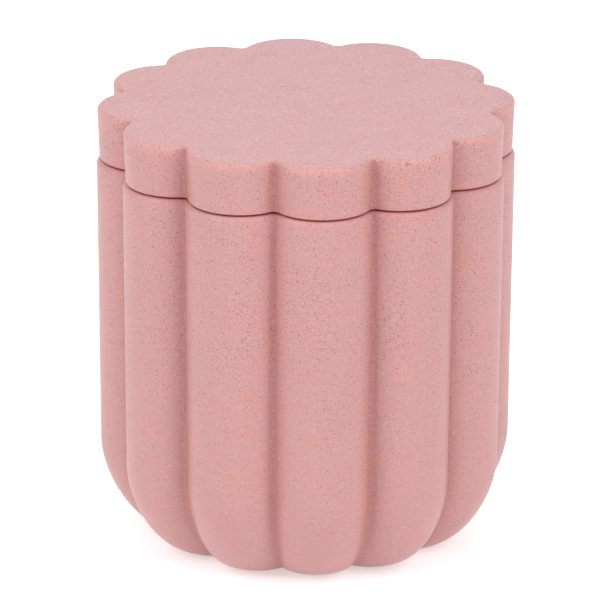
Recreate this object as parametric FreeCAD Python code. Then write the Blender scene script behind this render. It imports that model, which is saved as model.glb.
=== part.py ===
import FreeCAD
import Part
import math
import os

# Scalloped cotton pad holder: a cast jar, its loose lid and an anti-slip disc under the foot.
# Millimetres and degrees, +Z up. The origin is on the jar's axis, on the surface that it stands on.

# Scalloped outline, seen from above at the jar's rim
LOBE_COUNT = 12
CREST_RADIUS = 50.0         # jar's axis to the crest of a lobe
LOBE_DEPTH = 5.2            # crest to the bottom of the valley beside it
VALLEY_RADIUS = 0.9         # hollow round at the bottom of a valley

# Jar
JAR_HEIGHT = 94.4           # foot to rim
WALL_DRAFT = 0.4            # angle at which the wall leans in towards the foot
FOOT_ROUND_HEIGHT = 23.5    # rise of the round that turns the wall in under the jar
FOOT_ROUND_WIDTH = 17.0     # how far inside the rim's crests that round meets the foot
FOOT_ROUND_WEIGHT = 0.52    # fullness of that round: 0.71 would be an elliptic quarter, less is flatter
RIM_ROUND = 1.2             # outer edge of the rim
MOUTH_ROUND = 0.8           # inner edge of the rim
WALL = 5.8                  # thinnest wall, from a valley to the hollow, at the rim
HOLLOW_DRAFT = 0.5          # angle at which the hollow narrows downwards
FLOOR = 8.0                 # foot to the floor of the hollow
FLOOR_ROUND = 14.0          # round between the hollow's wall and its floor

# Lid
LID_HEIGHT = 13.0           # rim to the top of the lid
LID_INSET = 0.65            # how far the lid's lower edge stands inside the jar's outline
LID_FLARE = 0.45            # how far the lid's side leans out on its way up
LID_GAP = 0.45              # height at which the lid's margin stands clear of the rim
LID_SEAT = 3.7              # width of the flat that rests on the rim, out from the locating ring
LID_TOP_ROUND = 1.0         # upper edge
LID_EDGE_ROUND = 0.3        # lower edge
LID_ROOF = 6.5              # thickness of the lid's middle, over the pocket
RING_CLEARANCE = 0.7        # between the locating ring and the mouth, all round
RING_DEPTH = 5.0            # how far the locating ring reaches into the mouth
RING_WALL = 4.0             # thickness of the locating ring
RING_ROUND = 1.0            # lower edges of the locating ring
POCKET_ROUND = 3.0          # where the ring's inside meets the roof

# Anti-slip disc
FOOT_LAND = 3.0             # flat of the foot left around the disc's recess, at a valley
RECESS_DEPTH = 1.0          # of the recess that holds the disc
DISC_STAND = 0.6            # how far the disc holds the foot off the table
DISC_CLEARANCE = 0.3        # between the disc and the recess, all round
DISC_ROUND = 0.3            # lower edge of the disc

OVERCUT = 1.0               # how far a cutting shape runs past the face that it opens
TOLERANCE = 1e-6            # within which two sizes count as the same

# Heights and radii that follow from the sizes above
FOOT_Z = DISC_STAND
RECESS_Z = FOOT_Z + RECESS_DEPTH
FLOOR_Z = FOOT_Z + FLOOR
ROUND_Z = FOOT_Z + FOOT_ROUND_HEIGHT
RIM_Z = FOOT_Z + JAR_HEIGHT
RING_Z = RIM_Z - RING_DEPTH
MARGIN_Z = RIM_Z + LID_GAP
LID_TOP_Z = RIM_Z + LID_HEIGHT
ROOF_Z = LID_TOP_Z - LID_ROOF
VALLEY_FLOOR_RADIUS = CREST_RADIUS - LOBE_DEPTH
HOLLOW_RADIUS = VALLEY_FLOOR_RADIUS - WALL
RING_RADIUS = HOLLOW_RADIUS - RING_CLEARANCE
SEAT_RADIUS = RING_RADIUS + LID_SEAT
POCKET_RADIUS = RING_RADIUS - RING_WALL
WALL_LEAN = math.tan(math.radians(WALL_DRAFT))
ROUND_INSET = WALL_LEAN * (RIM_Z - ROUND_Z)
FOOT_SCALE = (CREST_RADIUS - FOOT_ROUND_WIDTH) / (CREST_RADIUS - ROUND_INSET)
RECESS_RADIUS = FOOT_SCALE * (VALLEY_FLOOR_RADIUS - ROUND_INSET) - FOOT_LAND
DISC_RADIUS = RECESS_RADIUS - DISC_CLEARANCE

AXIS = FreeCAD.Vector(0, 0, 1)
ORIGIN = FreeCAD.Vector(0, 0, 0)
LOBE_PITCH = 2 * math.pi / LOBE_COUNT
HALF_PITCH = LOBE_PITCH / 2


def polar(radius, angle):
    """The point of the ground plane at a radius and an angle about the axis."""
    return FreeCAD.Vector(radius * math.cos(angle), radius * math.sin(angle), 0)


def turned_by(vector, angle):
    """A vector turned about the axis."""
    return FreeCAD.Rotation(AXIS, math.degrees(angle)).multVec(vector)


def scallop_arcs(inset):
    """One lobe's arc and the valley's arc beside it, on the rim's outline moved inwards by inset.

    The lobe's circle touches the crest circle from inside and the valley's circle from outside,
    which gives its radius. Each arc is its centre, its start and the angle that it turns through.
    """
    valley_centre = VALLEY_FLOOR_RADIUS + VALLEY_RADIUS
    along = valley_centre * math.cos(HALF_PITCH) - CREST_RADIUS
    across = valley_centre * math.sin(HALF_PITCH)
    lobe_radius = (along ** 2 + across ** 2 - VALLEY_RADIUS ** 2) / (2 * (VALLEY_RADIUS - along))
    lobe_half = math.atan2(across, along + lobe_radius)
    lobe = polar(CREST_RADIUS - lobe_radius, 0)
    valley = polar(valley_centre, HALF_PITCH)
    return [
        (lobe, lobe + polar(lobe_radius - inset, -lobe_half), 2 * lobe_half),
        (valley, valley - polar(VALLEY_RADIUS + inset, lobe_half), LOBE_PITCH - 2 * lobe_half),
    ]


def wall_faces(high_inset, high_z, low_inset, low_z):
    """One lobe's and one valley's side, each turned about its own axis, between two insets and heights."""
    faces = []
    for (centre, high, turn), (_, low, _) in zip(scallop_arcs(high_inset), scallop_arcs(low_inset)):
        line = Part.makeLine(low + AXIS * low_z, high + AXIS * high_z)
        faces.append(line.revolve(centre, AXIS, math.degrees(turn)))
    return faces


def swung_faces(inset, profile):
    """One lobe's and one valley's side, swung down a conic profile of (scale, height, weight).

    An arc is a rational quadratic through its start, the corner of its end tangents and its end.
    Each pole of the profile scales those three, and the weights multiply, so the face is exact.
    """
    faces = []
    for centre, start, turn in scallop_arcs(inset):
        spoke = start - centre
        corner_weight = math.cos(turn / 2)
        corner = centre + turned_by(spoke, turn / 2) / corner_weight
        poles = [start, corner, centre + turned_by(spoke, turn)]
        rows = [[pole * scale + AXIS * z for pole in poles] for scale, z, weight in profile]
        weights = [[weight, weight * corner_weight, weight] for scale, z, weight in profile]
        surface = Part.BSplineSurface()
        surface.buildFromPolesMultsKnots(rows, [3, 3], [3, 3], [0, 1], [0, 1], False, False, 2, 2, weights)
        faces.append(surface.toShape())
    return faces


def on_level(edge, z):
    """Whether an edge lies flat at height z."""
    box = edge.BoundBox
    return abs(box.ZMin - z) < TOLERANCE and abs(box.ZMax - z) < TOLERANCE


def is_circle(edge, radius):
    """Whether an edge is a circle of that radius."""
    return isinstance(edge.Curve, Part.Circle) and abs(edge.Curve.Radius - radius) < TOLERANCE


def flat_face(sides, z):
    """The flat face that closes a ring of side faces at height z."""
    edges = [edge for side in sides for edge in side.Edges if on_level(edge, z)]
    return Part.Face(Part.Wire(Part.__sortEdges__(edges)))


def scalloped_solid(lobe_faces, low, high):
    """One lobe's side faces repeated about the axis, and closed by flats at two heights."""
    sides = []
    for lobe in range(LOBE_COUNT):
        for face in lobe_faces:
            side = face.copy()
            side.rotate(ORIGIN, AXIS, math.degrees(lobe * LOBE_PITCH))
            sides.append(side)
    shell = Part.makeShell(sides + [flat_face(sides, low), flat_face(sides, high)])
    shell.sewShape()
    return Part.Solid(shell)


def rounded(solid, z, radius):
    """The solid with all its edges at height z rounded."""
    return solid.makeFillet(radius, [edge for edge in solid.Edges if on_level(edge, z)])


def turned(corners):
    """The solid turned about the axis from corners of (radius, height, round), taken in order."""
    spots = [FreeCAD.Vector(radius, 0, z) for radius, z, bend in corners]
    ends = []
    edges = []
    for index, (radius, z, bend) in enumerate(corners):
        spot = spots[index]
        back = (spots[index - 1] - spot).normalize()
        ahead = (spots[(index + 1) % len(spots)] - spot).normalize()
        half_angle = back.getAngle(ahead) / 2
        run = bend / math.tan(half_angle)
        start = spot + back * run
        end = spot + ahead * run
        ends.append((start, end))
        if bend:
            inwards = (back + ahead).normalize()
            middle = spot + inwards * (bend / math.sin(half_angle) - bend)
            edges.append(Part.Arc(start, middle, end).toShape())
    for index in range(len(spots)):
        edges.append(Part.makeLine(ends[index - 1][1], ends[index][0]))
    return Part.Face(Part.Wire(Part.__sortEdges__(edges))).revolve(ORIGIN, AXIS, 360)


def jar_outside():
    """The jar without its hollow: a wall with draft, turned in to the foot by a conic round.

    The wall's line at a crest, carried on down to the foot, gives the corner of the conic, so the
    round leaves the wall without a crease and lands flat on the foot.
    """
    round_crest = CREST_RADIUS - ROUND_INSET
    foot_round = [
        (1, ROUND_Z, 1),
        ((round_crest - WALL_LEAN * FOOT_ROUND_HEIGHT) / round_crest, FOOT_Z, FOOT_ROUND_WEIGHT),
        (FOOT_SCALE, FOOT_Z, 1),
    ]
    faces = wall_faces(0, RIM_Z, ROUND_INSET, ROUND_Z) + swung_faces(ROUND_INSET, foot_round)
    return rounded(scalloped_solid(faces, FOOT_Z, RIM_Z), RIM_Z, RIM_ROUND)


def jar_body():
    """The cast jar: its scalloped outside, less the round hollow and the recess under the foot."""
    lean = math.tan(math.radians(HOLLOW_DRAFT))
    hollow = turned([
        (0, FLOOR_Z, 0),
        (HOLLOW_RADIUS - lean * (RIM_Z - FLOOR_Z), FLOOR_Z, FLOOR_ROUND),
        (HOLLOW_RADIUS + lean * OVERCUT, RIM_Z + OVERCUT, 0),
        (0, RIM_Z + OVERCUT, 0),
    ])
    recess = Part.makeCylinder(RECESS_RADIUS, RECESS_DEPTH + OVERCUT, AXIS * (FOOT_Z - OVERCUT))
    jar = jar_outside().cut(hollow).cut(recess)
    mouth = [edge for edge in jar.Edges if on_level(edge, RIM_Z) and is_circle(edge, HOLLOW_RADIUS)]
    return jar.makeFillet(MOUTH_ROUND, mouth)


def lid_outside():
    """The lid without its seat, ring and pocket: the rim's outline, moved in, flaring on its way up."""
    faces = wall_faces(LID_INSET - LID_FLARE, LID_TOP_Z, LID_INSET, MARGIN_Z)
    block = scalloped_solid(faces, MARGIN_Z, LID_TOP_Z)
    return rounded(rounded(block, LID_TOP_Z, LID_TOP_ROUND), MARGIN_Z, LID_EDGE_ROUND)


def lid():
    """The cast lid: its scalloped plate, with the seat and the locating ring around the pocket below it."""
    plug = turned([
        (0, RING_Z, 0),
        (RING_RADIUS, RING_Z, RING_ROUND),
        (RING_RADIUS, RIM_Z, 0),
        (SEAT_RADIUS, RIM_Z, 0),
        (SEAT_RADIUS, ROOF_Z, 0),
        (0, ROOF_Z, 0),
    ])
    pocket = turned([
        (0, RING_Z - OVERCUT, 0),
        (POCKET_RADIUS, RING_Z - OVERCUT, 0),
        (POCKET_RADIUS, ROOF_Z, POCKET_ROUND),
        (0, ROOF_Z, 0),
    ])
    plate = lid_outside().fuse(plug).cut(pocket)
    inner_edge = [edge for edge in plate.Edges if on_level(edge, RING_Z) and is_circle(edge, POCKET_RADIUS)]
    return plate.makeFillet(RING_ROUND, inner_edge)


def anti_slip_disc():
    """The rubber disc that fills the recess and stands proud of the foot."""
    return turned([(0, 0, 0), (DISC_RADIUS, 0, DISC_ROUND), (DISC_RADIUS, RECESS_Z, 0), (0, RECESS_Z, 0)])


os.makedirs("parts", exist_ok=True)
for make in (jar_body, lid, anti_slip_disc):
    piece = make()
    piece.exportStep("parts/" + make.__name__ + ".step")
    print(make.__name__, "solids:", len(piece.Solids), "valid:", piece.isValid(), "mm3:", round(piece.Volume))
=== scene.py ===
import math

import bpy
import numpy as np
from mathutils import Matrix, Vector


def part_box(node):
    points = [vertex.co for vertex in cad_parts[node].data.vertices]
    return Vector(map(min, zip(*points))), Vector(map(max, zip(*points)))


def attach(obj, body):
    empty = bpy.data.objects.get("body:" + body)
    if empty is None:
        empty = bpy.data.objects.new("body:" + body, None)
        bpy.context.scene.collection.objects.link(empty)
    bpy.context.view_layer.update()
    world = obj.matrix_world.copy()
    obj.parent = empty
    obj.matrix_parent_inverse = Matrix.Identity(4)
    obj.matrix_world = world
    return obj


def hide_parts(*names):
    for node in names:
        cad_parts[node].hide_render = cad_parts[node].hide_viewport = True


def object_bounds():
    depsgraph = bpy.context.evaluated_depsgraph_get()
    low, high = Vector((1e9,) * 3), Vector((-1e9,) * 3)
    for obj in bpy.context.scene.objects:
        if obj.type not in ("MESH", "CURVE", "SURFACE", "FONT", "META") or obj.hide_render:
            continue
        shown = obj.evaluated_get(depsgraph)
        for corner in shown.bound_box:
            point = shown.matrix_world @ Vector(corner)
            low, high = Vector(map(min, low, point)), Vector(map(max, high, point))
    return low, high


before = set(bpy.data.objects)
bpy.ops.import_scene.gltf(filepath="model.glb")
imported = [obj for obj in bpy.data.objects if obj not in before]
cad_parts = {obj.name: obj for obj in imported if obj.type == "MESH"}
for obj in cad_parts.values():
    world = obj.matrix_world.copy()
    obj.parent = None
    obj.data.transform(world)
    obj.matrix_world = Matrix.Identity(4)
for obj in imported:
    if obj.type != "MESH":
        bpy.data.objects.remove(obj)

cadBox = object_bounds()
scene = bpy.context.scene
scene.view_settings.view_transform = "Standard"


# Outline that the jar and the lid share, in metres

scallop = {
    "lobes": 12,
    "depth": 0.0052,            # crest to the bottom of a valley
    "valleyRadius": 0.0009,     # hollow round at the bottom of a valley
    "lobeSteps": 30,
    "valleySteps": 12,
    "flankShade": 0.45,          # share of the valleys' painted shade that fades out over the flanks
    "flankPower": 3,
    "lineShade": 0.55,           # the rest is a narrow line of painted shade
    "linePower": 26,
}


def scallopOutline(crest):
    # A lobe's circle touches the crest circle from inside and the valley's circle from outside,
    # which gives its radius. Points and outward directions are complex numbers, x + iy.
    half = math.pi / scallop["lobes"]
    valley = scallop["valleyRadius"]
    hub = crest - scallop["depth"] + valley
    along = hub * math.cos(half) - crest
    across = hub * math.sin(half)
    lobe = (along ** 2 + across ** 2 - valley ** 2) / (2 * (valley - along))
    lobeHalf = math.atan2(across, along + lobe)
    lobeTurns = np.linspace(-lobeHalf, lobeHalf, scallop["lobeSteps"], endpoint=False)
    valleyTurns = np.linspace(lobeHalf, 2 * half - lobeHalf, scallop["valleySteps"], endpoint=False)
    lobeWays, valleyWays = np.exp(1j * lobeTurns), np.exp(1j * valleyTurns)
    points = np.concatenate([crest - lobe + lobe * lobeWays, hub * np.exp(1j * half) - valley * valleyWays])
    ways = np.concatenate([lobeWays, valleyWays])
    turns = np.exp(2j * half * np.arange(scallop["lobes"]))[:, None]
    return (turns * points).ravel(), (turns * ways).ravel()


def paintedValleyShade(outline, crest):
    # Painted shade: depth below the crest circle, 0 on a crest and 1 in a valley, raised to a low and a high
    # power.
    sunk = ((crest - abs(outline)) / scallop["depth"]).clip(0, 1)
    flank = scallop["flankShade"] * sunk ** scallop["flankPower"]
    return flank + scallop["lineShade"] * sunk ** scallop["linePower"]


jarLow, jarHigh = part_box("jar_body")
lidLow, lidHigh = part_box("lid")
discLow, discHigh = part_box("anti_slip_disc")
outline, ways = scallopOutline(jarHigh.x)
circle = outline / abs(outline)  # the same columns on a round ring
# share of painted shade in the valleys, for each column of the outline
valleyShade = paintedValleyShade(outline, jarHigh.x)
innermost = 0.001  # radius of the last ring before a fan closes a flat at the axis


# Rings and meshes

def cornerPath(corners, steps=7):
    # Path through corners of (radius, height, round): every inner corner becomes an arc that touches
    # both of its straight runs. The arcs' points are centre + spoke * e^(i * turn * t), all at once.
    spots = np.array([radius + 1j * height for radius, height, bend in corners])
    bends = np.array([bend for radius, height, bend in corners])[1:-1]
    runs = np.diff(spots)
    runs = runs / abs(runs)
    turn = np.angle(runs[1:] / runs[:-1])
    first = spots[1:-1] - runs[:-1] * bends * np.tan(abs(turn) / 2)
    spoke = -1j * np.sign(turn) * runs[:-1] * bends
    t = np.linspace(0, 1, steps)
    arcs = (first - spoke)[:, None] + spoke[:, None] * np.exp(1j * turn[:, None] * t)
    return np.concatenate([arcs.ravel(), spots[-1:]])


def turned(path):
    # A path of radius + i * height, turned about the axis: radius times the round ring.
    plain = 0 * path.real
    return path.real[:, None] * circle, path.imag, plain, plain


def walled(insets, heights, shade=1, gapLight=0):
    # The outline moved inwards by each inset, at each height.
    insets, heights = np.asarray(insets)[:, None], np.asarray(heights)
    # each ring also carries its share of the valleys' painted shade and of the gap's painted red light
    return outline - insets * ways, heights, shade + 0 * heights, gapLight + 0 * heights


def ringMesh(name, stages, lowPole, highPole):
    # Rings of points from the axis below, outwards, up and over to the axis above, joined by quads,
    # with a fan to the axis at both ends. Columns run anticlockwise, so faces point outwards.
    # Each stage gives its rings' plans and heights, and their shares of painted valley shade and painted gap
    # light.
    rings, levels, shades, gapLights = [np.concatenate(parts) for parts in zip(*stages)]
    rows, columns = rings.shape
    heights = np.repeat(levels[:, None], columns, axis=1)
    here = np.arange(columns)
    there = np.roll(here, -1)
    lower = columns * np.arange(rows - 1)[:, None]
    upper = lower + columns
    pole = 0 * here + rows * columns
    quads = np.stack([lower + here, lower + there, upper + there, upper + here], axis=-1)
    lowFan = np.stack([pole, there, here], axis=-1)
    highFan = np.stack([upper[-1] + here, upper[-1] + there, pole + 1], axis=-1)
    points = np.stack([rings.real, rings.imag, heights], axis=-1).reshape(-1, 3)
    points = np.concatenate([points, [[0, 0, lowPole], [0, 0, highPole]]])
    mesh = bpy.data.meshes.new(name)
    mesh.from_pydata(points.tolist(), [], quads.reshape(-1, 4).tolist() + lowFan.tolist() + highFan.tolist())
    mesh.polygons.foreach_set("use_smooth", np.ones(len(mesh.polygons), bool))
    # painted valley shade and painted gap light, stored as point attributes
    for label, values in [("valleyShade", shades[:, None] * valleyShade), ("gapLight", gapLights[:, None] + 0 * valleyShade)]:
        mask = mesh.attributes.new(label, "FLOAT", "POINT")
        mask.data.foreach_set("value", np.append(values, [0, 0]).astype(np.float32))
    mesh.update()
    piece = bpy.data.objects.new(name, mesh)
    scene.collection.objects.link(piece)
    print(name, "points", len(mesh.vertices), "faces", len(mesh.polygons))
    return piece


# Jar

jar = {
    "draft": 0.4,               # degrees that the wall leans in towards the foot
    "footRoundHeight": 0.0235,
    "footRoundWidth": 0.017,    # how far inside the rim's crests the round meets the foot
    "footRoundWeight": 0.52,    # fullness of that round
    "footShadePower": 0.5,       # how the valleys' painted shade comes in up the round
    "rimRound": 0.0012,
    "gapLightPower": 8,             # how the gap's painted red light comes in over the rim's round
    "gapLightInsets": (0.0014, 0.002, 0.0025),  # rings on the rim's flat
    "gapLightShares": (1, 1, 0),     # and the share of painted gap light on them
    "mouthRound": 0.0008,
    "wall": 0.0058,             # from a valley to the hollow, at the rim
    "hollowDraft": 0.5,
    "floor": 0.008,
    "floorRound": 0.014,
    "recessClearance": 0.0003,  # round the disc
    "recessRound": 0.0002,
    "footSteps": 30,
    "wallSteps": 30,
    "rimSteps": 9,
    "insideSteps": 14,
}


def conicRound(start, corner, end, weight, steps):
    # Rational quadratic from start to end, pulled towards the corner by its weight.
    t = np.linspace(0, 1, steps)
    pull = 2 * weight * t * (1 - t)
    return ((1 - t) ** 2 * start + pull * corner + t ** 2 * end) / ((1 - t) ** 2 + pull + t ** 2)


def jarSurface():
    # The recess turned about the axis, the outline scaled down a conic for the foot, the outline moved in
    # by depth times the draft for the wall and round a quarter circle for the rim, and the hollow turned.
    lean = math.tan(math.radians(jar["draft"]))
    hollowLean = math.tan(math.radians(jar["hollowDraft"]))
    crest, footZ, rimZ = jarHigh.x, jarLow.z, jarHigh.z
    roundZ = footZ + jar["footRoundHeight"]
    floorZ = footZ + jar["floor"]
    recess = discHigh.x + jar["recessClearance"]
    mouth = crest - scallop["depth"] - jar["wall"]
    inset = lean * (rimZ - roundZ)
    under = cornerPath([
        (0, discHigh.z, 0),
        (recess, discHigh.z, jar["recessRound"]),
        (recess, footZ, jar["recessRound"]),
        (recess + 4 * jar["recessRound"], footZ, 0),
    ])
    # scale of the outline at the wall's lower end + i * height, along the conic
    scales = conicRound(
        (crest - jar["footRoundWidth"]) / (crest - inset) + 1j * footZ,
        (crest - inset - lean * jar["footRoundHeight"]) / (crest - inset) + 1j * footZ,
        1 + 1j * roundZ,
        jar["footRoundWeight"],
        jar["footSteps"],
    )
    rise = np.linspace(0, 1, jar["footSteps"])
    footPlans = scales.real[:, None] * (outline - inset * ways)
    # painted valley shade comes in up the foot's round
    foot = footPlans, scales.imag, rise ** jar["footShadePower"], 0 * rise
    wallZ = np.linspace(roundZ, rimZ - jar["rimRound"], jar["wallSteps"])[1:]
    wall = walled(lean * (rimZ - wallZ), wallZ)
    swing = np.linspace(0, math.pi / 2, jar["rimSteps"])[1:]
    rimDrop = jar["rimRound"] * (1 - np.sin(swing))
    rimInset = lean * rimDrop + jar["rimRound"] * (1 - np.cos(swing))
    # painted red light of the gap under the lid, over the rim's round and on its flat
    rim = walled(rimInset, rimZ - rimDrop, 1, np.sin(swing) ** jar["gapLightPower"])
    rimFlat = walled(jar["gapLightInsets"], [rimZ] * len(jar["gapLightInsets"]), 0, np.array(jar["gapLightShares"]))
    inside = cornerPath([
        (mouth + 3 * jar["mouthRound"], rimZ, 0),
        (mouth, rimZ, jar["mouthRound"]),
        (mouth - hollowLean * (rimZ - floorZ), floorZ, jar["floorRound"]),
        (innermost, floorZ, 0),
    ], jar["insideSteps"])
    stages = [turned(under), foot, wall, rim, rimFlat, turned(inside)]
    return ringMesh("castJar", stages, discHigh.z, floorZ)


# Lid

lid = {
    "inset": 0.00065,           # lower edge, inside the jar's outline
    "gap": 0.00045,             # height that the margin stands clear of the rim
    "land": 0.0037,             # width of the ring that rests on the rim
    "flare": 0.00045,           # how far the side leans out on its way up
    "topRound": 0.001,
    "topFlatInset": 0.0014,     # first ring of the flat top, inside the side's upper end
    "edgeRound": 0.0003,
    "roof": 0.0065,
    "ringClearance": 0.0007,
    "ringWall": 0.004,
    "ringRound": 0.001,
    "pocketRound": 0.003,
    "rootRound": 0.0004,        # where the ring leaves the underside
    "stepRound": 0.0001,        # edges of the step from the land to the margin
    "sideSteps": 12,
    "roundSteps": 9,
    "underSteps": 10,
}


def lidSurface():
    # The underside turned about the axis, then the outline moved in by quarter circles at the lower and the
    # upper edge, and out by the flare's share of the height between them.
    rimZ, topZ, ringZ = jarHigh.z, lidHigh.z, lidLow.z
    ring = jarHigh.x - scallop["depth"] - jar["wall"] - lid["ringClearance"]
    pocket = ring - lid["ringWall"]
    roofZ = topZ - lid["roof"]
    marginZ = rimZ + lid["gap"]
    under = cornerPath([
        (0, roofZ, 0),
        (pocket, roofZ, lid["pocketRound"]),
        (pocket, ringZ, lid["ringRound"]),
        (ring, ringZ, lid["ringRound"]),
        (ring, rimZ, lid["rootRound"]),
        (ring + lid["land"], rimZ, lid["stepRound"]),
        (ring + lid["land"], marginZ, lid["stepRound"]),
        (ring + lid["land"] + 4 * lid["stepRound"], marginZ, 0),
    ], lid["underSteps"])
    swing = np.linspace(0, math.pi / 2, lid["roundSteps"])
    lowerZ = marginZ + lid["edgeRound"] * (1 - np.cos(swing))
    lowerInset = lid["edgeRound"] * (1 - np.sin(swing))
    sideZ = np.linspace(marginZ + lid["edgeRound"], topZ - lid["topRound"], lid["sideSteps"])[1:-1]
    upperZ = topZ - lid["topRound"] * (1 - np.sin(swing))
    upperInset = lid["topRound"] * (1 - np.cos(swing))
    heights = np.concatenate([lowerZ, sideZ, upperZ])
    insets = np.concatenate([lowerInset, 0 * sideZ, upperInset])
    flare = lid["flare"] * (heights - marginZ) / (topZ - marginZ)
    # painted valley shade on the lid's side, gone where the top is flat
    shades = np.minimum(1, 2 * (topZ - heights) / lid["topRound"])  # gone where the top is flat
    side = walled(lid["inset"] - flare + insets, heights, shades)
    topFlat = walled([lid["inset"] - lid["flare"] + lid["topFlatInset"]], [topZ], 0)
    stages = [turned(under), side, topFlat]
    return ringMesh("castLid", stages, roofZ, topZ)


# Anti-slip disc

disc = {"edgeRound": 0.0003, "topRound": 0.0002}


def discSurface():
    # A flat, a rounded edge and a flat, turned about the axis.
    path = cornerPath([
        (0, discLow.z, 0),
        (discHigh.x, discLow.z, disc["edgeRound"]),
        (discHigh.x, discHigh.z, disc["topRound"]),
        (innermost, discHigh.z, 0),
    ])
    return ringMesh("rubberDisc", [turned(path)], discLow.z, discHigh.z)


# Shader helpers

def addNode(tree, kind, values=None, **settings):
    # Settings first, because they choose the inputs. An input is linked to a socket or set to a value.
    node = tree.nodes.new(kind)
    for key, value in settings.items():
        setattr(node, key, value)
    for key, value in (values or {}).items():
        if isinstance(value, bpy.types.NodeSocket):
            tree.links.new(value, node.inputs[key])
        else:
            node.inputs[key].default_value = value
    return node


def combine(tree, operation, a, b):
    return addNode(tree, "ShaderNodeMath", {0: a, 1: b}, operation=operation).outputs[0]


def ramp(tree, value, low, high, toLow=0.0, toHigh=1.0):
    # Smooth step: toLow where the value is low, toHigh where it is high.
    return addNode(tree, "ShaderNodeMapRange", {
        "Value": value, "From Min": low, "From Max": high, "To Min": toLow, "To Max": toHigh,
    }, interpolation_type="SMOOTHSTEP").outputs["Result"]


def mixColour(tree, factor, a, b):
    return addNode(tree, "ShaderNodeMix", {0: factor, 6: a, 7: b}, data_type="RGBA").outputs[2]


def newGroup(name, inputs, outputs):
    group = bpy.data.node_groups.new(name, "ShaderNodeTree")
    for label, kind in inputs.items():
        group.interface.new_socket(label, in_out="INPUT", socket_type="NodeSocket" + kind)
    for label, kind in outputs.items():
        group.interface.new_socket(label, in_out="OUTPUT", socket_type="NodeSocket" + kind)
    return group, group.nodes.new("NodeGroupInput").outputs, group.nodes.new("NodeGroupOutput").inputs


def useGroup(tree, group, values):
    return addNode(tree, "ShaderNodeGroup", values, node_tree=group).outputs


def newMaterial(name):
    material = bpy.data.materials.new(name)
    material.use_nodes = True
    tree = material.node_tree
    return material, tree, tree.nodes["Principled BSDF"]


# Groups that the finishes share

texture = {
    "bends": 1.7,               # waves that put the specks out of line, per cell
    "bendBy": 0.45,             # how far, in cells
    "smallest": 0.45,           # radius of the smallest speck, as a share of the largest
    "patchDetail": 3.0,
    "patchRoughness": 0.55,
    "patchFrom": 0.3,           # noise at which a patch starts, and at which it is full
    "patchTo": 0.7,
    "gritDetail": 2.0,
    "gritRoughness": 0.6,
}


def speckGroup():
    # One round speck in some of the cells of a warped Voronoi pattern, each with its own radius.
    group, given, result = newGroup("specks", {
        "Place": "Vector", "Per Metre": "Float", "Radius": "Float", "Share": "Float", "Edge": "Float",
    }, {"Mask": "Float"})
    scaled = addNode(group, "ShaderNodeVectorMath", {
        0: given["Place"], "Scale": given["Per Metre"],
    }, operation="SCALE").outputs[0]
    waves = addNode(group, "ShaderNodeTexNoise", {"Vector": scaled, "Scale": texture["bends"], "Detail": 1.0})
    warped = addNode(group, "ShaderNodeVectorMath", {
        0: waves.outputs["Color"], 1: (texture["bendBy"],) * 3, 2: scaled,
    }, operation="MULTIPLY_ADD").outputs[0]
    cells = addNode(group, "ShaderNodeTexVoronoi", {"Vector": warped, "Scale": 1.0}).outputs
    draws = addNode(group, "ShaderNodeSeparateColor", {"Color": cells["Color"]}).outputs
    size = ramp(group, draws[0], 0.0, 1.0, texture["smallest"], 1.0)
    radius = combine(group, "MULTIPLY", given["Radius"], size)
    past = combine(group, "SUBTRACT", combine(group, "DIVIDE", cells["Distance"], radius), 1.0)
    spot = ramp(group, past, given["Edge"], 0.0)
    kept = combine(group, "LESS_THAN", draws[1], given["Share"])
    group.links.new(combine(group, "MULTIPLY", spot, kept), result["Mask"])
    return group


def mottleGroup():
    # Soft cloudy patches from 0 to 1.
    group, given, result = newGroup("mottle", {"Place": "Vector", "Per Metre": "Float"}, {"Patch": "Float"})
    cloud = addNode(group, "ShaderNodeTexNoise", {
        "Vector": given["Place"], "Scale": given["Per Metre"],
        "Detail": texture["patchDetail"], "Roughness": texture["patchRoughness"],
    }).outputs["Fac"]
    group.links.new(ramp(group, cloud, texture["patchFrom"], texture["patchTo"]), result["Patch"])
    return group


def grainGroup():
    # Fine grit: a height from 0 to 1.
    group, given, result = newGroup("grain", {"Place": "Vector", "Per Metre": "Float"}, {"Height": "Float"})
    grit = addNode(group, "ShaderNodeTexNoise", {
        "Vector": given["Place"], "Scale": given["Per Metre"],
        "Detail": texture["gritDetail"], "Roughness": texture["gritRoughness"],
    }).outputs["Fac"]
    group.links.new(grit, result["Height"])
    return group


specks, mottle, grain = speckGroup(), mottleGroup(), grainGroup()


# Cast resin with mineral specks, painted valley shade, top sheen, edge highlight and gap light

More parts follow.
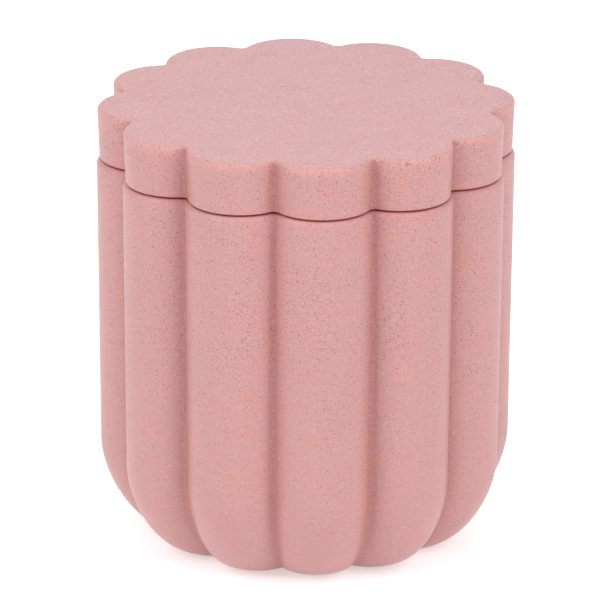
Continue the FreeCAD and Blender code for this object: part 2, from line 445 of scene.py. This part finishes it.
resin = {
    "salmon": (0.682, 0.336, 0.325, 1),
    "greyPink": (0.647, 0.350, 0.340, 1),
    "speck": (0.470, 0.172, 0.168, 1),
    # specks in the valleys, darkened further as painted shade
    "valleyShadeSpeck": (0.300, 0.095, 0.095, 1),
    # pale mineral flecks; on the top they also stand in for painted glints
    "fleck": (0.780, 0.508, 0.522, 1),
    # painted sheen: the top's cooler tone stands in for the white it reflects
    "paintedTopSheen": (0.652, 0.350, 0.357, 1),
    "edgeWearAndHighlight": (0.735, 0.372, 0.342, 1),   # of the lid's upper edge: wear and a painted highlight
    # painted shade in the valleys
    "paintedValleyShade": (0.490, 0.196, 0.192, 1),
    "paintedGapLight": (0.860, 0.160, 0.135, 1),    # painted red light of the narrow gap under the lid
    "polished": 0.36,           # roughness of the salmon patches
    "dull": 0.44,               # and of the greyer ones
    "ior": 1.5,
    "fineSpecks": {"Per Metre": 2100.0, "Radius": 0.28, "Share": 0.95, "Edge": 0.7},
    "coarseSpecks": {"Per Metre": 1250.0, "Radius": 0.2, "Share": 0.42, "Edge": 0.6},
    "paleFlecks": {"Per Metre": 1700.0, "Radius": 0.26, "Share": 0.7, "Edge": 0.7},
    "patches": 170.0,           # per metre, as the clumps and the grit
    "clumps": 60.0,
    "grit": 2600.0,
    "gritHeight": 0.00003,
    "fineStrength": (0.35, 0.75),       # of the fine specks, outside and inside a clump
    "darkStrength": (0.4, 1.0),         # of all dark specks, at the foot and from the next height up
    "darkFrom": 0.085,
    "fleckAndGlintStrength": (0.35, 1.0),        # of the flecks, on the side and on the top, where they are stronger as painted glints
    "topSkin": 0.0002,                  # depth over which the top's painted sheen comes in
    "edgeBand": (0.0028, 0.0007),       # depths where the edge's wear and painted highlight start and are full
    "gritTone": (0.48, 0.8, 0.0, 0.4),  # from these heights of the grit, to these shares of the speck colour
    "gapReach": 0.0015,                 # how near a surface has to be to shut the gap, for its painted red light
    "gapLightRamp": (0.05, 0.45, 1.0, 0.0),  # from these shares of open view, to these shares of the painted red light
}


def castResin(name, topZ):
    # Patches, edge (wear and painted highlight), top (painted sheen), grit, valleys (painted shade), specks,
    # flecks (painted glints on the top) and gap (painted red light) are laid over each other in that order.
    material, tree, shader = newMaterial(name)
    place = addNode(tree, "ShaderNodeTexCoord").outputs["Object"]
    height = addNode(tree, "ShaderNodeSeparateXYZ", {0: place}).outputs["Z"]
    # painted valley shade and painted gap light, read from the mesh's attributes
    inValleyShade = addNode(tree, "ShaderNodeAttribute", attribute_name="valleyShade").outputs["Fac"]
    inGapLight = addNode(tree, "ShaderNodeAttribute", attribute_name="gapLight").outputs["Fac"]
    patch = useGroup(tree, mottle, {"Place": place, "Per Metre": resin["patches"]})["Patch"]
    clump = useGroup(tree, mottle, {"Place": place, "Per Metre": resin["clumps"]})["Patch"]
    grit = useGroup(tree, grain, {"Place": place, "Per Metre": resin["grit"]})["Height"]
    fine = useGroup(tree, specks, {"Place": place, **resin["fineSpecks"]})["Mask"]
    coarse = useGroup(tree, specks, {"Place": place, **resin["coarseSpecks"]})["Mask"]
    pale = useGroup(tree, specks, {"Place": place, **resin["paleFlecks"]})["Mask"]

    # the flat top: painted sheen, and stronger flecks as painted glints
    onTop = ramp(tree, height, topZ - resin["topSkin"], topZ)
    # the lid's upper edge: wear and a painted highlight
    onEdge = ramp(tree, height, topZ - resin["edgeBand"][0], topZ - resin["edgeBand"][1])
    fine = combine(tree, "MULTIPLY", fine, ramp(tree, clump, 0.0, 1.0, *resin["fineStrength"]))
    dark = combine(tree, "MAXIMUM", fine, coarse)
    dark = combine(tree, "MULTIPLY", dark, ramp(tree, height, 0.0, resin["darkFrom"], *resin["darkStrength"]))
    # flecks stronger on the top, as painted glints
    pale = combine(tree, "MULTIPLY", pale, ramp(tree, onTop, 0.0, 1.0, *resin["fleckAndGlintStrength"]))
    # painted red light in the gap: where the rim's share meets a near surface
    around = addNode(tree, "ShaderNodeAmbientOcclusion", {"Distance": resin["gapReach"]}, samples=4)
    shut = combine(tree, "MULTIPLY", inGapLight, ramp(tree, around.outputs["AO"], *resin["gapLightRamp"]))

    colour = mixColour(tree, patch, resin["salmon"], resin["greyPink"])
    # wear and a painted highlight on the lid's upper edge
    colour = mixColour(tree, onEdge, colour, resin["edgeWearAndHighlight"])
    # painted sheen on the top
    colour = mixColour(tree, onTop, colour, resin["paintedTopSheen"])
    colour = mixColour(tree, ramp(tree, grit, *resin["gritTone"]), colour, resin["speck"])
    # painted shade in the valleys
    colour = mixColour(tree, inValleyShade, colour, resin["paintedValleyShade"])
    # specks darker in the valleys, as painted shade
    colour = mixColour(tree, dark, colour, mixColour(tree, inValleyShade, resin["speck"], resin["valleyShadeSpeck"]))
    colour = mixColour(tree, pale, colour, resin["fleck"])
    # painted red light in the gap under the lid
    colour = mixColour(tree, shut, colour, resin["paintedGapLight"])
    roughness = ramp(tree, patch, 0.0, 1.0, resin["polished"], resin["dull"])
    bump = addNode(tree, "ShaderNodeBump", {
        "Height": grit, "Distance": resin["gritHeight"], "Strength": 1.0,
    })
    tree.links.new(colour, shader.inputs["Base Color"])
    tree.links.new(roughness, shader.inputs["Roughness"])
    tree.links.new(bump.outputs["Normal"], shader.inputs["Normal"])
    shader.inputs["IOR"].default_value = resin["ior"]
    return material


# Rubber of the disc

rubber = {
    "colour": (0.56, 0.53, 0.50, 1),
    "worn": (0.63, 0.60, 0.57, 1),
    "polished": 0.74,           # roughness of the worn patches
    "dull": 0.86,               # and of the rest
    "patches": 120.0,           # per metre, as the grit
    "grit": 1800.0,
    "gritHeight": 0.00004,
}


def discRubber(name):
    # Worn patches change the colour and the roughness, and grit raises the surface.
    material, tree, shader = newMaterial(name)
    place = addNode(tree, "ShaderNodeTexCoord").outputs["Object"]
    patch = useGroup(tree, mottle, {"Place": place, "Per Metre": rubber["patches"]})["Patch"]
    grit = useGroup(tree, grain, {"Place": place, "Per Metre": rubber["grit"]})["Height"]
    colour = mixColour(tree, patch, rubber["colour"], rubber["worn"])
    roughness = ramp(tree, patch, 0.0, 1.0, rubber["dull"], rubber["polished"])
    bump = addNode(tree, "ShaderNodeBump", {
        "Height": grit, "Distance": rubber["gritHeight"], "Strength": 1.0,
    })
    tree.links.new(colour, shader.inputs["Base Color"])
    tree.links.new(roughness, shader.inputs["Roughness"])
    tree.links.new(bump.outputs["Normal"], shader.inputs["Normal"])
    return material


def fit(piece, material, body, node):
    piece.data.materials.append(material)
    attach(piece, body)
    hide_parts(node)


resinFinish = castResin("castResin", lidHigh.z)
fit(jarSurface(), resinFinish, "jar", "jar_body")
fit(lidSurface(), resinFinish, "lid", "lid")
fit(discSurface(), discRubber("discRubber"), "jar", "anti_slip_disc")
print("pieces and finishes done")


# Floor, light and camera

studio = {
    "floorSize": 6.0,
    "floorColour": (0.92, 0.92, 0.92, 1),
    "floorGlow": 0.12,          # as of a lit table
    "floorLift": 0.35,          # added where the camera sees the floor, so that it is white
    "farLift": 0.5,             # and added to that far from the jar, beyond the lamps
    "farFrom": 0.35,            # distances over which the far lift comes in
    "farTo": 0.8,
    "fill": 0.2,                # light of the surroundings
    "white": 1.0,               # the surroundings as the camera sees them
    "lamps": [                  # name, azimuth and elevation in degrees, distance, width, height, watts
        ("frontLeftSoftbox", -60, 35, 0.9, 0.45, 0.7, 3.2),
        ("frontRightSoftbox", 42, 35, 0.9, 0.45, 0.7, 3.85),
        ("leftSoftbox", -85, 35, 0.9, 0.45, 0.7, 0.6),
        ("topSoftbox", 0, 80, 0.9, 0.8, 0.8, 2.3),
        ("backSoftbox", 180, 15, 0.9, 0.9, 0.5, 3.2),
    ],
}


def seenDirectly(tree):
    # 1 for rays from the camera, from gloss and through glass, otherwise 0
    path = addNode(tree, "ShaderNodeLightPath").outputs
    seen = combine(tree, "MAXIMUM", path["Is Camera Ray"], path["Is Glossy Ray"])
    return combine(tree, "MAXIMUM", seen, path["Is Transmission Ray"])


def compass(azimuth, elevation):
    # Unit vector: azimuth 0 is the front, -Y, and 90 is +X.
    a, e = math.radians(azimuth), math.radians(elevation)
    return Vector((math.sin(a) * math.cos(e), -math.cos(a) * math.cos(e), math.sin(e)))


def buildFloor():
    # A square whose glow is lifted for the camera, more so with distance from the jar.
    reach = studio["floorSize"] / 2
    corners = [(-reach, -reach, 0), (reach, -reach, 0), (reach, reach, 0), (-reach, reach, 0)]
    mesh = bpy.data.meshes.new("studioFloor")
    mesh.from_pydata(corners, [], [(0, 1, 2, 3)])
    floor = bpy.data.objects.new("studioFloor", mesh)
    scene.collection.objects.link(floor)
    material, tree, shader = newMaterial("paleFloor")
    tree.nodes.remove(shader)
    diffuse = addNode(tree, "ShaderNodeBsdfDiffuse", {"Color": studio["floorColour"]})
    lifted = studio["floorGlow"] + studio["floorLift"]
    glow = ramp(tree, seenDirectly(tree), 0.0, 1.0, studio["floorGlow"], lifted)
    place = addNode(tree, "ShaderNodeTexCoord").outputs["Object"]
    distance = addNode(tree, "ShaderNodeVectorMath", {0: place}, operation="LENGTH").outputs["Value"]
    far = ramp(tree, distance, studio["farFrom"], studio["farTo"], 0.0, studio["farLift"])
    cameraRay = addNode(tree, "ShaderNodeLightPath").outputs["Is Camera Ray"]
    glow = combine(tree, "ADD", glow, combine(tree, "MULTIPLY", far, cameraRay))
    lift = addNode(tree, "ShaderNodeEmission", {"Strength": glow})
    both = addNode(tree, "ShaderNodeAddShader", {0: diffuse.outputs[0], 1: lift.outputs[0]})
    tree.links.new(both.outputs[0], tree.nodes["Material Output"].inputs["Surface"])
    mesh.materials.append(material)


def buildWorld():
    world = bpy.data.worlds.new("studioWhite")
    world.use_nodes = True
    tree = world.node_tree
    strength = ramp(tree, seenDirectly(tree), 0.0, 1.0, studio["fill"], studio["white"])
    tree.nodes["Background"].inputs["Color"].default_value = (1, 1, 1, 1)
    tree.links.new(strength, tree.nodes["Background"].inputs["Strength"])
    scene.world = world


def buildLamps():
    # Each lamp stands off the middle of the holder along its compass way, and faces it.
    middle = Vector((0, 0, (cadBox[0].z + cadBox[1].z) / 2))
    for name, azimuth, elevation, distance, width, height, watts in studio["lamps"]:
        lamp = bpy.data.lights.new(name, "AREA")
        lamp.shape, lamp.size, lamp.size_y, lamp.energy = "RECTANGLE", width, height, watts
        holder = bpy.data.objects.new(name, lamp)
        way = compass(azimuth, elevation)
        holder.location = middle + way * distance
        holder.rotation_euler = way.to_track_quat("Z", "Y").to_euler()
        holder.visible_glossy = False  # gloss shows the even white of the surroundings
        scene.collection.objects.link(holder)


view = {
    "focal": 5656.1,            # in pixels of the 605-pixel picture
    "pixels": 605,
    "sensor": 36,               # millimetres
    "clip": (0.01, 50),
    "azimuth": -5.53,
    "elevation": 20.72,
    "distance": 1.363,          # to the middle of the jar
    "middle": 0.0506,           # its height
    "middleAt": (305.46, 327.54),   # where it comes in the picture
    "roll": 0.28,
}


def buildCamera():
    # The middle of the jar comes at its place in the picture: the aim is off by pixels * distance / focal.
    back = compass(view["azimuth"], view["elevation"])
    turn = back.to_track_quat("Z", "Y").to_matrix()
    roll = Matrix.Rotation(math.radians(view["roll"]), 3, "Z")
    centre = view["pixels"] / 2
    across, down = view["middleAt"]
    offset = Vector((centre - across, down - centre, 0)) * view["distance"] / view["focal"]
    middle = Vector((0, 0, view["middle"]))
    place = middle + back * view["distance"]
    aim = middle + turn @ roll @ offset
    camera = bpy.data.cameras.new("photoCamera")
    camera.sensor_width = view["sensor"]
    camera.lens = view["focal"] * view["sensor"] / view["pixels"]
    camera.clip_start, camera.clip_end = view["clip"]
    holder = bpy.data.objects.new("photoCamera", camera)
    facing = (place - aim).to_track_quat("Z", "Y").to_matrix() @ roll
    holder.matrix_world = Matrix.Translation(place) @ facing.to_4x4()
    scene.collection.objects.link(holder)
    scene.camera = holder


buildFloor()
buildWorld()
buildLamps()
buildCamera()
print("floor, light and camera done")
